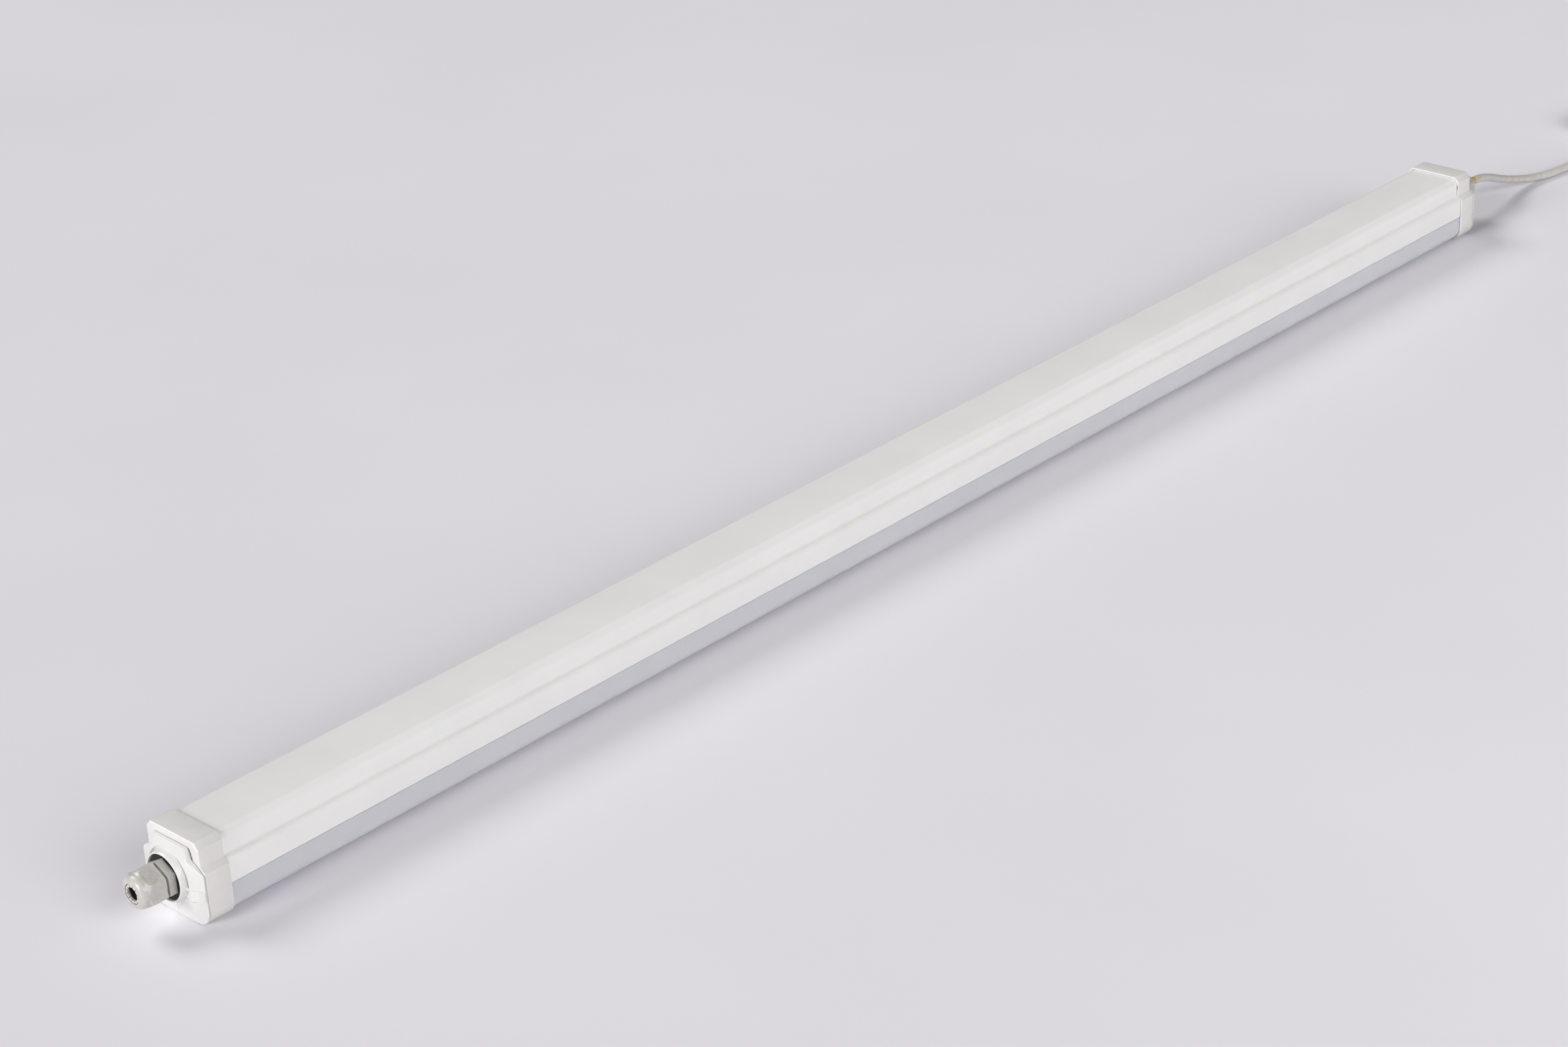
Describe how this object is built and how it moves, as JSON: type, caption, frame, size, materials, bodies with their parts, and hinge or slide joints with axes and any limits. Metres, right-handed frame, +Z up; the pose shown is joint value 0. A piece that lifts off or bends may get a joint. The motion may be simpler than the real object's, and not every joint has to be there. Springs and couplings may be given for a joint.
{
  "type": "vapor tight light fixture",
  "caption": "Long sealed linear LED light: white housing, opal diffuser, end covers with cable glands and a supply cord.",
  "frame": {"origin": "middle of the surface that the light lies on, on its diffuser", "axes": "+X along the light towards its supply cord, +Y across it, +Z up from the diffuser to the mounting side"},
  "size_m": [1.9174, 0.0914, 0.0625],
  "materials": {
    "housing_white": "satin white polycarbonate, extruded",
    "diffuser_opal": "satin opal polycarbonate, unlit",
    "end_white": "satin white moulded polycarbonate",
    "silicone": "translucent white silicone",
    "rubber_black": "dull black rubber",
    "nylon_grey": "satin grey nylon",
    "aluminium": "plain rolled aluminium",
    "board_white": "white solder mask",
    "steel": "zinc-plated steel",
    "case_white": "matte white plastic",
    "connector_grey": "matte grey nylon",
    "cord_white": "satin white sheath",
    "wire_brown": "satin brown insulation",
    "wire_blue": "satin blue insulation",
    "wire_earth": "satin green and yellow insulation",
    "wire_red": "satin red insulation",
    "wire_black": "satin black insulation"
  },
  "bodies": {
    "root": {"housing": "housing_white", "diffuser": "diffuser_opal", "end_collar_left": "end_white", "end_collar_right": "end_white", "cover_gasket_left": "silicone", "cover_gasket_right": "silicone", "led_tray": "aluminium", "led_board_1": "board_white", "led_board_2": "board_white", "led_board_3": "board_white", "board_screw_1": "steel", "board_screw_2": "steel", "board_screw_3": "steel", "board_screw_4": "steel", "board_screw_5": "steel", "board_screw_6": "steel", "board_link_minus_1": "wire_black", "board_link_plus_1": "wire_red", "board_link_minus_2": "wire_black", "board_link_plus_2": "wire_red", "driver_case": "case_white", "driver_screw_1": "steel", "driver_screw_2": "steel", "board_lead_minus": "wire_black", "board_lead_plus": "wire_red", "terminal_block": "connector_grey", "supply_socket": "connector_grey", "through_wire_live": "wire_brown", "through_wire_neutral": "wire_blue", "through_wire_earth": "wire_earth"},
    "cover_left": {"end_cover_left": "end_white", "gland_washer_left": "rubber_black", "gland_body_left": "nylon_grey", "gland_locknut_left": "nylon_grey"},
    "insert_left": {"gland_insert_left": "nylon_grey", "gland_seal_left": "rubber_black"},
    "nut_left": {"gland_nut_left": "nylon_grey"},
    "cover_right": {"end_cover_right": "end_white", "gland_washer_right": "rubber_black", "gland_body_right": "nylon_grey", "gland_locknut_right": "nylon_grey", "cord_tail": "cord_white", "supply_plug": "connector_grey", "supply_core_live": "wire_brown", "supply_core_neutral": "wire_blue", "supply_core_earth": "wire_earth", "cord_free": "cord_white", "cord_coil": "cord_white", "cord_end": "cord_white", "cord_core_live": "wire_brown", "cord_core_neutral": "wire_blue", "cord_core_earth": "wire_earth"},
    "insert_right": {"gland_insert_right": "nylon_grey", "gland_seal_right": "rubber_black"},
    "nut_right": {"gland_nut_right": "nylon_grey"}
  },
  "joints": [
    {"name": "cover_pull_left", "type": "slide", "parent": "root", "child": "cover_left", "axis": [-1, 0, 0], "range_m": [0, 0.03]},
    {"name": "insert_slide_left", "type": "slide", "parent": "cover_left", "child": "insert_left", "axis": [-1, 0, 0], "range_m": [0, 0.0046]},
    {"name": "nut_turn_left", "type": "hinge", "parent": "insert_left", "child": "nut_left", "pos_m": [-0.77, 0, 0.033], "axis": [-1, 0, 0], "range_deg": [0, 1080]},
    {"name": "cover_pull_right", "type": "slide", "parent": "root", "child": "cover_right", "axis": [1, 0, 0], "range_m": [0, 0.03]},
    {"name": "insert_slide_right", "type": "slide", "parent": "cover_right", "child": "insert_right", "axis": [1, 0, 0], "range_m": [0, 0.0046]},
    {"name": "nut_turn_right", "type": "hinge", "parent": "insert_right", "child": "nut_right", "pos_m": [0.77, 0, 0.033], "axis": [1, 0, 0], "range_deg": [0, 1080]}
  ],
  "couplings": [
    {"joint": "insert_slide_left", "follows": "nut_turn_left", "m_per_rad": 0.00023873},
    {"joint": "insert_slide_right", "follows": "nut_turn_right", "m_per_rad": 0.00023873}
  ]
}
